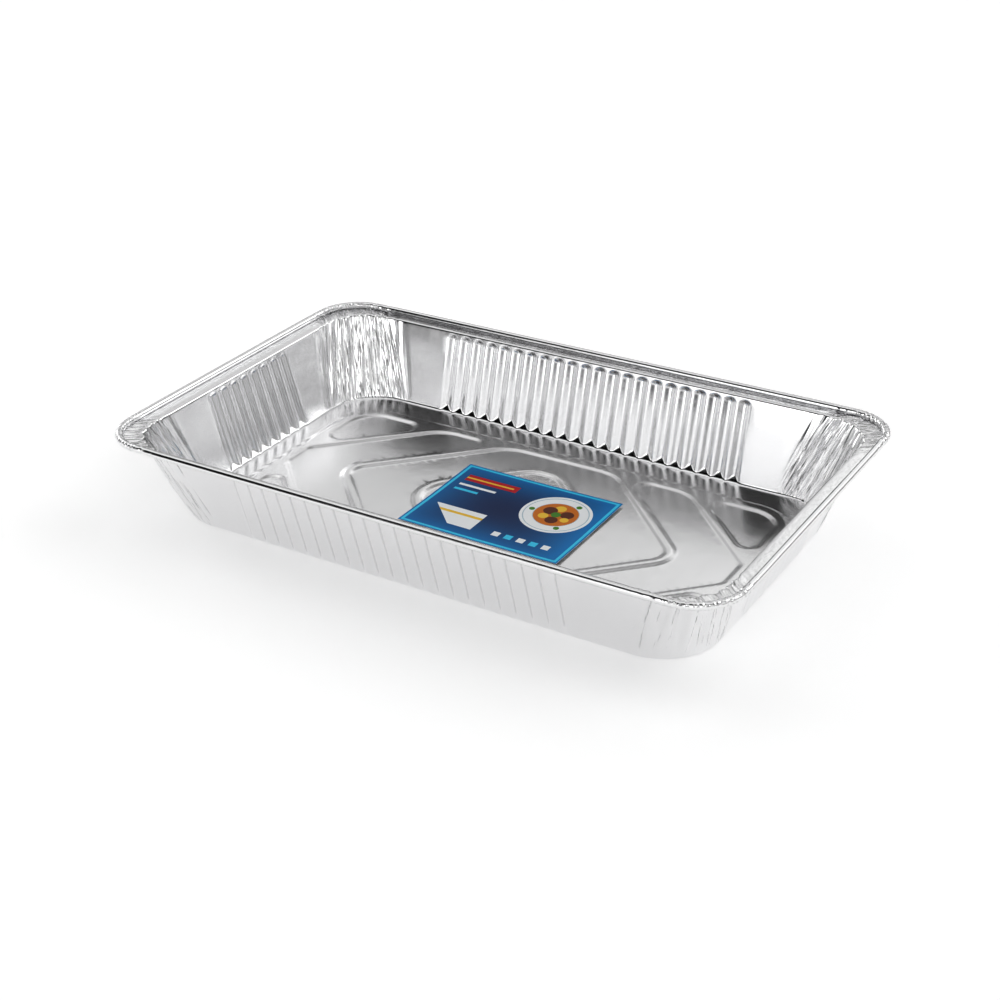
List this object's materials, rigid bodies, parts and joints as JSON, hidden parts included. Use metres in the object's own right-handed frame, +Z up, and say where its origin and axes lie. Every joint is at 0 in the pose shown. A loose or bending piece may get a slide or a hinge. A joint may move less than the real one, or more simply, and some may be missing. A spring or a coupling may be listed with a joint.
{
  "type": "foil roasting pan",
  "caption": "Oblong roasting pan pressed from thin foil, with fluted leaning walls, gathered corners, a rolled rim, a ribbed floor and a loose printed card on it.",
  "frame": {"origin": "middle of the base, on the surface the pan stands on", "axes": "+X along the pan's length, +Y across it, +Z up out of the opening"},
  "size_m": [0.53, 0.33, 0.074],
  "materials": {
    "foil": "bright satin foil",
    "card": "glossy print"
  },
  "bodies": {
    "root": {"foil_pan": "foil", "label_card": "card"}
  },
  "joints": []
}
